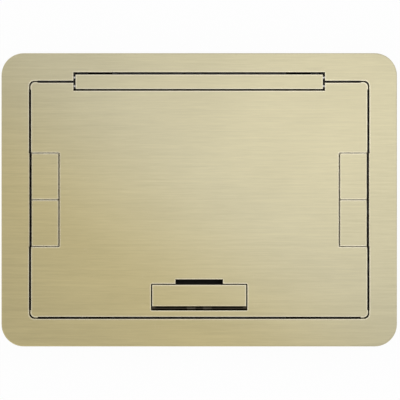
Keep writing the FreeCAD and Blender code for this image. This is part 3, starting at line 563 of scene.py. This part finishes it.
SCREW_SHANK, RIVET_SHANK = 0.53, 0.54
SHANK_CHAMFER, SOCKET_CHAMFER, SOCKET_DEPTH = 0.0003, 0.0001, 0.55
HEAD_PROFILE = ((1, 0), (1, 0.45), (0.95, 0.7), (0.84, 0.88), (0.66, 0.98), (0.56, 1))
RIVET_HEIGHT = 0.205
ROUND, HEXAGON, WIRE_ROUND = 24, 6, 12
FLAP_COIL_STEPS, HANDLE_COIL_STEPS = 4, 3
BEND_STEPS, CORNER_STEPS = 4, 6
SMOOTH_SCREW, SMOOTH_WIRE = 30, 75


def finished(name, bm, material, nodes, smooth_below=40):
    """A closed piece from a bmesh, smooth below an angle, that stands for its CAD nodes."""
    bmesh.ops.recalc_face_normals(bm, faces=bm.faces)
    mesh = bpy.data.meshes.new(name)
    bm.to_mesh(mesh)
    bm.free()
    mesh.shade_smooth()
    mesh.set_sharp_from_angle(angle=math.radians(smooth_below))
    mesh.materials.append(material)
    piece = bpy.data.objects.new(name, mesh)
    bpy.context.scene.collection.objects.link(piece)
    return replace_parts(piece, *nodes)


def solids_in(node):
    """Lowest and highest corner of each separate solid in a CAD node."""
    bm = bmesh.new()
    bm.from_mesh(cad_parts[node].data)
    bmesh.ops.remove_doubles(bm, verts=bm.verts, dist=1e-6)
    left, boxes = set(bm.verts), []
    while left:
        reached = [left.pop()]
        for vert in reached:
            near = {edge.other_vert(vert) for edge in vert.link_edges} & left
            left -= near
            reached += near
        spots = [vert.co for vert in reached]
        low = Vector([min(spot[n] for spot in spots) for n in range(3)])
        high = Vector([max(spot[n] for spot in spots) for n in range(3)])
        boxes.append((low, high))
    bm.free()
    return boxes


def ring(bm, centre, normal, radius, segments):
    """A circle of edges that faces a direction."""
    turn = normal.to_track_quat("Z", "Y").to_matrix().to_4x4()
    made = bmesh.ops.create_circle(bm, cap_ends=False, segments=segments, radius=radius,
                                   matrix=Matrix.Translation(centre) @ turn)
    return list({edge for vert in made["verts"] for edge in vert.link_edges})


def run_on(bm, edges, way):
    """The ring's wall drawn out straight; returns its new ring."""
    made = bmesh.ops.extrude_edge_only(bm, edges=edges)["geom"]
    verts = [part for part in made if isinstance(part, bmesh.types.BMVert)]
    bmesh.ops.translate(bm, verts=verts, vec=way)
    return [part for part in made if isinstance(part, bmesh.types.BMEdge)
            and part.verts[0] in verts and part.verts[1] in verts]


def turn_on(bm, edges, centre, axis, angle, steps, advance=None):
    """The ring's wall bent or wound round an axis; returns its new ring."""
    step = advance / steps if advance else Vector()
    made = bmesh.ops.spin(bm, geom=edges, cent=centre, axis=axis, dvec=step, angle=angle, steps=steps,
                          use_merge=False, use_duplicate=False)["geom_last"]
    return [part for part in made if isinstance(part, bmesh.types.BMEdge)]


def capped(bm, edges):
    """A ring closed by one face."""
    bmesh.ops.contextual_create(bm, geom=edges)


def screw_shape(bm, low, high, head_height, socket):
    """A pan-head screw driven upwards: seen from below, a domed head with a hexagon socket.

    Known fault: bridge_loops joins some flat rings crosswise, here and in rivet_shape. That covers
    the sockets of most screws and turns some shanks, and the pocket screws' heads, inside out.
    """
    x, y = (low.x + high.x) / 2, (low.y + high.y) / 2
    head = (high.x - low.x) / 2
    seat = low.z + head_height
    shank = head * SCREW_SHANK
    levels = [(shank - SHANK_CHAMFER, high.z), (shank, high.z - SHANK_CHAMFER), (shank, seat)]
    levels += [(head * across, seat - head_height * down) for across, down in HEAD_PROFILE]
    last = None
    for radius, z in levels:
        following = ring(bm, Vector((x, y, z)), Z_AXIS, radius, ROUND)
        if last:
            bmesh.ops.bridge_loops(bm, edges=last + following)
        else:
            capped(bm, following)
        last = following
    levels = [(socket + SOCKET_CHAMFER, low.z), (socket, low.z + SOCKET_CHAMFER),
              (socket, low.z + head_height * SOCKET_DEPTH)]
    for radius, z in levels:
        following = ring(bm, Vector((x, y, z)), Z_AXIS, radius, HEXAGON)
        bmesh.ops.bridge_loops(bm, edges=last + following)
        last = following
    capped(bm, last)


def rivet_shape(bm, low, high, head_height):
    """A rivet with a domed head below and a shank above."""
    x, y = (low.x + high.x) / 2, (low.y + high.y) / 2
    head = (high.x - low.x) / 2
    seat = low.z + head_height
    shank = head * RIVET_SHANK
    last = ring(bm, Vector((x, y, high.z)), Z_AXIS, shank, ROUND)
    capped(bm, last)
    dome = [(head * math.cos(turn), seat - head_height * math.sin(turn))
            for turn in (math.radians(a) for a in range(0, 90, 15))]
    for radius, z in [(shank, seat)] + dome:
        following = ring(bm, Vector((x, y, z)), Z_AXIS, radius, ROUND)
        bmesh.ops.bridge_loops(bm, edges=last + following)
        last = following
    capped(bm, last)


# Pieces

class COVER_OT_brushed_plates(bpy.types.Operator):
    """Brush the flange, lid, flaps, hinge bar and handle"""

    bl_idname = "cover.brushed_plates"
    bl_label = "Brushed Plates"

    def execute(self, context):
        flaps = ["cable_flap_" + corner for corner in CORNERS]
        for node in ["flange_frame", "lid_plate", "hinge_bar"] + flaps:
            dress(node, brushed_plate())
        low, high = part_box("handle_pin")
        # The handle's knuckles get painted shade from its front edge forward.
        front_edge = (low.y + high.y) / 2 + context.scene.cover_fittings.knuckle_reach
        dress("lift_handle", brushed_plate(gap_shade_before=front_edge))
        return {"FINISHED"}


class COVER_OT_coated_steel(bpy.types.Operator):
    """Powder-coat the collar, seats, tray, brackets and leaves"""

    bl_idname = "cover.coated_steel"
    bl_label = "Coated Steel"

    def execute(self, context):
        nodes = ["collar", "stiffener_tray"]
        nodes += [name + side for side in SIDES for name in ("corner_seat_", "flap_bracket_")]
        nodes += ["flap_leaf_" + corner for corner in CORNERS]
        for node in nodes:
            dress(node, powder_coat())
        return {"FINISHED"}


class COVER_OT_soft_and_moulded(bpy.types.Operator):
    """Finish the gasket, the lid pads and the handle pocket"""

    bl_idname = "cover.soft_and_moulded"
    bl_label = "Rubber and Plastic"

    def execute(self, context):
        for node in ["floor_gasket"] + ["lid_pad_" + side for side in SIDES]:
            dress(node, black_rubber())
        dress("handle_pocket", moulded_plastic())
        return {"FINISHED"}


class COVER_OT_pins(bpy.types.Operator):
    """Finish the hinge pins, the flap pins and the handle pin"""

    bl_idname = "cover.pins"
    bl_label = "Pins"

    def execute(self, context):
        for side in SIDES:
            for name, axis in (("frame_pin_", "x"), ("lid_pin_", "x"), ("flap_pin_", "y")):
                dress(name + side, ground_along(axis))
        dress("handle_pin", dark_steel())
        return {"FINISHED"}


class COVER_OT_flap_springs(bpy.types.Operator):
    """Wind the torsion spring of each cable flap"""

    bl_idname = "cover.flap_springs"
    bl_label = "Flap Springs"

    def execute(self, context):
        for corner in CORNERS:
            self.spring(corner)
        return {"FINISHED"}

    def spring(self, corner):
        """One spring: a leg under the leaf, the coil on the pin, and a leg under the bracket's base."""
        sizes = bpy.context.scene.cover_fittings
        node = "flap_spring_" + corner
        side, end = corner.split("_")
        low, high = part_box(node)
        pin_low, pin_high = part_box("flap_pin_" + side)
        pin = (pin_low + pin_high) / 2
        outward = 1 if side == "right" else -1
        rearward = 1 if end == "rear" else -1
        coil_r = (pin_high.x - pin_low.x) / 2 + sizes.coil_clear + sizes.flap_wire / 2
        bend_r = sizes.wire_bend
        leaf_turn = math.acos((sizes.leaf_leg_rise + bend_r) / (coil_r + bend_r))
        base_turn = math.acos((sizes.base_leg_rise + bend_r) / (coil_r + bend_r))
        inset = sizes.flap_wire
        leaf_y = (high.y if rearward > 0 else low.y) - rearward * inset
        base_y = (low.y if rearward > 0 else high.y) + rearward * inset
        leaf_tip = (high.x if outward > 0 else low.x)
        base_tip = (low.x if outward > 0 else high.x)
        outer_r = coil_r + bend_r
        axis = Y_AXIS * outward
        bm = bmesh.new()
        tip = Vector((leaf_tip, leaf_y, pin.z + sizes.leaf_leg_rise))
        bend_x = pin.x + outward * outer_r * math.sin(leaf_turn)
        wire = first = ring(bm, tip, X_AXIS, sizes.flap_wire / 2, WIRE_ROUND)
        wire = run_on(bm, wire, Vector((bend_x - leaf_tip, 0, 0)))
        bend_z = pin.z + outer_r * math.cos(leaf_turn)
        wire = turn_on(bm, wire, Vector((bend_x, leaf_y, bend_z)), axis, leaf_turn, BEND_STEPS)
        wound = sizes.flap_turns * math.tau + leaf_turn + base_turn
        coil_at = Vector((pin.x, leaf_y, pin.z))
        advance = Vector((0, base_y - leaf_y, 0))
        wire = turn_on(bm, wire, coil_at, -axis, wound, round(wound * FLAP_COIL_STEPS), advance)
        bend_x = pin.x - outward * outer_r * math.sin(base_turn)
        bend_z = pin.z + outer_r * math.cos(base_turn)
        wire = turn_on(bm, wire, Vector((bend_x, base_y, bend_z)), axis, base_turn, BEND_STEPS)
        wire = run_on(bm, wire, Vector((base_tip - bend_x, 0, 0)))
        capped(bm, first)
        capped(bm, wire)
        piece = finished("wound_" + node, bm, spring_wire(), [node], SMOOTH_WIRE)
        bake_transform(piece)


class COVER_OT_handle_spring(bpy.types.Operator):
    """Wind the handle's double torsion spring as two mirrored coils that share a cross bar"""

    bl_idname = "cover.handle_spring"
    bl_label = "Handle Spring"

    def execute(self, context):
        for side, way in (("left", -1), ("right", 1)):
            self.coil(side, way)
        return {"FINISHED"}

    def coil(self, side, way):
        """Half of the spring, from the middle of its cross bar out to its leg."""
        sizes = bpy.context.scene.cover_fittings
        low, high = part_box("handle_spring")
        pin_low, pin_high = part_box("handle_pin")
        pin = (pin_low + pin_high) / 2
        wire_r, bend_r = sizes.handle_wire / 2, sizes.wire_bend
        coil_r = (pin_high.z - pin_low.z) / 2 + sizes.coil_clear / 2 + wire_r
        reach, drop = sizes.handle_loop_reach, sizes.handle_loop_drop
        far = math.hypot(reach, drop)
        leave = -math.atan2(drop, reach) - math.acos(coil_r / far)
        leg_turn = math.acos((sizes.handle_leg_reach + bend_r) / (coil_r + bend_r))
        inner_x = way * (sizes.handle_wire + self.split() / 2)
        outer_x = way * (high.x - sizes.handle_wire)
        along_leg = Vector((0, math.sin(leave), -math.cos(leave)))
        bar = Vector((0, pin.y + reach, pin.z - drop))
        bm = bmesh.new()
        wire = first = ring(bm, bar, X_AXIS, wire_r, WIRE_ROUND)
        corner_x = inner_x - way * bend_r
        wire = run_on(bm, wire, Vector((corner_x, 0, 0)))
        bend = Vector((corner_x, bar.y, bar.z)) + along_leg * bend_r
        bend_axis = (X_AXIS * way).cross(along_leg)
        wire = turn_on(bm, wire, bend, bend_axis, math.pi / 2, CORNER_STEPS)
        touch = Vector((inner_x, pin.y + coil_r * math.cos(leave), pin.z + coil_r * math.sin(leave)))
        straight = touch - Vector((inner_x, bar.y, bar.z)) - along_leg * bend_r
        wire = run_on(bm, wire, straight)
        wound = sizes.handle_turns * math.tau + leave + leg_turn
        coil_at = Vector((inner_x, pin.y, pin.z))
        advance = Vector((outer_x - inner_x, 0, 0))
        wire = turn_on(bm, wire, coil_at, -X_AXIS, wound, round(wound * HANDLE_COIL_STEPS), advance)
        outer_r = coil_r + bend_r
        bend_y = pin.y + outer_r * math.cos(leg_turn)
        bend = Vector((outer_x, bend_y, pin.z - outer_r * math.sin(leg_turn)))
        wire = turn_on(bm, wire, bend, X_AXIS, leg_turn, BEND_STEPS)
        wire = run_on(bm, wire, Vector((0, 0, low.z - bend.z)))
        capped(bm, first)
        capped(bm, wire)
        name = "wound_handle_spring_" + side
        piece = finished(name, bm, spring_wire(), ["handle_spring"], SMOOTH_WIRE)
        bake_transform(piece)

    def split(self):
        """Distance between the two coils, from the loop's width in the CAD solid."""
        low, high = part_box("handle_spring")
        bm = bmesh.new()
        bm.from_mesh(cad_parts["handle_spring"].data)
        loop = [vert.co.x for vert in bm.verts if vert.co.y > high.y - 0.002]
        bm.free()
        wire = bpy.context.scene.cover_fittings.handle_wire
        return 2 * (max(loop) - 2 * wire)


class COVER_OT_screws(bpy.types.Operator):
    """Make the screws of the collar, tray, pocket and flap brackets"""

    bl_idname = "cover.screws"
    bl_label = "Screws"

    def execute(self, context):
        sizes = context.scene.cover_fittings
        places = {"collar_screws": "frame", "tray_screws": "lid", "pocket_screws": "lid",
                  "bracket_screws_left": "lid", "bracket_screws_right": "lid"}
        for node, body in places.items():
            bm = bmesh.new()
            for low, high in solids_in(node):
                head = high.x - low.x
                screw_shape(bm, low, high, head * sizes.head_share, head * sizes.socket_share / 2)
            piece = finished("detailed_" + node, bm, zinc_plate(), [node], SMOOTH_SCREW)
            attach(piece, body)
        return {"FINISHED"}


class COVER_OT_rivets(bpy.types.Operator):
    """Make the rivets that hold each leaf to its flap"""

    bl_idname = "cover.rivets"
    bl_label = "Rivets"

    def execute(self, context):
        for corner in CORNERS:
            node = "flap_rivets_" + corner
            bm = bmesh.new()
            for low, high in solids_in(node):
                rivet_shape(bm, low, high, (high.x - low.x) * RIVET_HEIGHT)
            piece = finished("domed_" + node, bm, zinc_plate(), [node])
            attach(piece, "flap_" + corner)
        return {"FINISHED"}


# Studio

FLOOR_INSET = 0.0005
CEILING_START, CEILING_END = 0.55, 0.98


def soft_lamp(name, place, size, power):
    """A square lamp that points at the lid."""
    lamp = bpy.data.lights.new(name, "AREA")
    lamp.size = size
    lamp.energy = power
    holder = bpy.data.objects.new(name, lamp)
    holder.location = place
    holder.rotation_euler = (-Vector(place)).to_track_quat("-Z", "Y").to_euler()
    holder.visible_camera = False
    bpy.context.scene.collection.objects.link(holder)


def studio_world(studio):
    """White to the camera, greyer towards the ceiling in reflections, dimmer on matt surfaces."""
    world = bpy.data.worlds.new("studio")
    world.use_nodes = True
    tree = world.node_tree
    background = tree.nodes["Background"]
    rays = node_in(tree, "LightPath")
    place = node_in(tree, "TexCoord")
    split = node_in(tree, "SeparateXYZ")
    tree.links.new(place.outputs["Generated"], split.inputs["Vector"])
    up = split.outputs["Z"]
    ceiling = scaled(tree, up, 1.0, studio.zenith_level, CEILING_START, CEILING_END)
    shiny = worked(tree, "MAXIMUM", rays.outputs["Is Glossy Ray"], rays.outputs["Is Transmission Ray"])
    matt = worked(tree, "SUBTRACT", scaled(tree, shiny, 1, 0), rays.outputs["Is Camera Ray"])
    level = worked(tree, "ADD", worked(tree, "MULTIPLY", shiny, ceiling), rays.outputs["Is Camera Ray"])
    level = worked(tree, "ADD", level, worked(tree, "MULTIPLY", matt, studio.room_level))
    background.inputs["Color"].default_value = (1, 1, 1, 1)
    tree.links.new(level, background.inputs["Strength"])
    return world


def floor_material(studio):
    """Pale floor that shows white outside the collar and is plain matt inside it."""
    material, shader = material_named("pale_floor", (0.86, 0.86, 0.86), 0.9, 0.0)
    tree = material.node_tree
    output = tree.nodes["Material Output"]
    place = node_in(tree, "TexCoord")
    split = node_in(tree, "SeparateXYZ")
    tree.links.new(place.outputs["Object"], split.inputs["Vector"])
    low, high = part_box("collar")
    outside = None
    for axis, reach in (("X", high.x), ("Y", high.y)):
        distance = worked(tree, "ABSOLUTE", split.outputs[axis], 0.0)
        beyond = worked(tree, "GREATER_THAN", distance, reach - FLOOR_INSET)
        outside = worked(tree, "MAXIMUM", outside, beyond) if outside else beyond
    rays = node_in(tree, "LightPath")
    seen = worked(tree, "MAXIMUM", rays.outputs["Is Camera Ray"], rays.outputs["Is Glossy Ray"])
    share = worked(tree, "MULTIPLY", worked(tree, "MULTIPLY", outside, seen), studio.floor_white)
    white = node_in(tree, "Emission")
    white.inputs["Color"].default_value = (1, 1, 1, 1)
    blend = node_in(tree, "MixShader")
    tree.links.new(share, blend.inputs["Fac"])
    tree.links.new(shader.outputs["BSDF"], blend.inputs[1])
    tree.links.new(white.outputs["Emission"], blend.inputs[2])
    tree.links.new(blend.outputs["Shader"], output.inputs["Surface"])
    return material


class COVER_OT_studio(bpy.types.Operator):
    """Set up the floor, the room, the soft lamps and the camera straight above"""

    bl_idname = "cover.studio"
    bl_label = "Studio"

    def execute(self, context):
        scene = context.scene
        studio = scene.cover_studio
        bm = bmesh.new()
        bmesh.ops.create_grid(bm, x_segments=1, y_segments=1, size=studio.floor_side / 2)
        mesh = bpy.data.meshes.new("floor")
        bm.to_mesh(mesh)
        bm.free()
        mesh.materials.append(floor_material(studio))
        floor = bpy.data.objects.new("floor", mesh)
        scene.collection.objects.link(floor)
        scene.world = studio_world(studio)
        soft_lamp("key_lamp", studio.key_place, studio.key_size, studio.key_power)
        soft_lamp("right_lamp", studio.right_place, studio.right_size, studio.right_power)
        soft_lamp("left_lamp", studio.left_place, studio.left_size, studio.left_power)
        soft_lamp("fill_lamp", studio.fill_place, studio.fill_size, studio.fill_power)
        camera = bpy.data.cameras.new("camera")
        low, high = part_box("lid_plate")
        camera.lens = camera.sensor_width * (studio.camera_height - high.z) / studio.view_width
        holder = bpy.data.objects.new("camera", camera)
        holder.location = (*studio.view_centre, studio.camera_height)
        scene.collection.objects.link(holder)
        scene.camera = holder
        scene.view_settings.view_transform = "Standard"
        return {"FINISHED"}


OPERATORS = (
    COVER_OT_studio,
    COVER_OT_brushed_plates,
    COVER_OT_coated_steel,
    COVER_OT_soft_and_moulded,
    COVER_OT_pins,
    COVER_OT_flap_springs,
    COVER_OT_handle_spring,
    COVER_OT_screws,
    COVER_OT_rivets,
)


class COVER_PT_sidebar(bpy.types.Panel):
    """Sizes, finishes and the operators that dress the cover"""

    bl_idname = "COVER_PT_sidebar"
    bl_label = "Floor Box Cover"
    bl_space_type = "VIEW_3D"
    bl_region_type = "UI"
    bl_category = "Cover"

    def draw(self, context):
        scene = context.scene
        for group in (scene.cover_finish, scene.cover_fittings, scene.cover_studio):
            box = self.layout.box()
            for name in group.__annotations__:
                box.prop(group, name)
        for operator in OPERATORS:
            self.layout.operator(operator.bl_idname)


CLASSES = (CoverFinish, CoverFittings, CoverStudio, *OPERATORS, COVER_PT_sidebar)


def register():
    for cls in CLASSES:
        bpy.utils.register_class(cls)
    bpy.types.Scene.cover_finish = PointerProperty(type=CoverFinish)
    bpy.types.Scene.cover_fittings = PointerProperty(type=CoverFittings)
    bpy.types.Scene.cover_studio = PointerProperty(type=CoverStudio)


def unregister():
    del bpy.types.Scene.cover_studio
    del bpy.types.Scene.cover_fittings
    del bpy.types.Scene.cover_finish
    for cls in reversed(CLASSES):
        bpy.utils.unregister_class(cls)


def main():
    """Dress the cover, one operator after another."""
    register()
    bpy.ops.cover.studio()
    bpy.ops.cover.brushed_plates()
    bpy.ops.cover.coated_steel()
    bpy.ops.cover.soft_and_moulded()
    bpy.ops.cover.pins()
    bpy.ops.cover.flap_springs()
    bpy.ops.cover.handle_spring()
    bpy.ops.cover.screws()
    bpy.ops.cover.rivets()


if __name__ == "__main__":
    main()
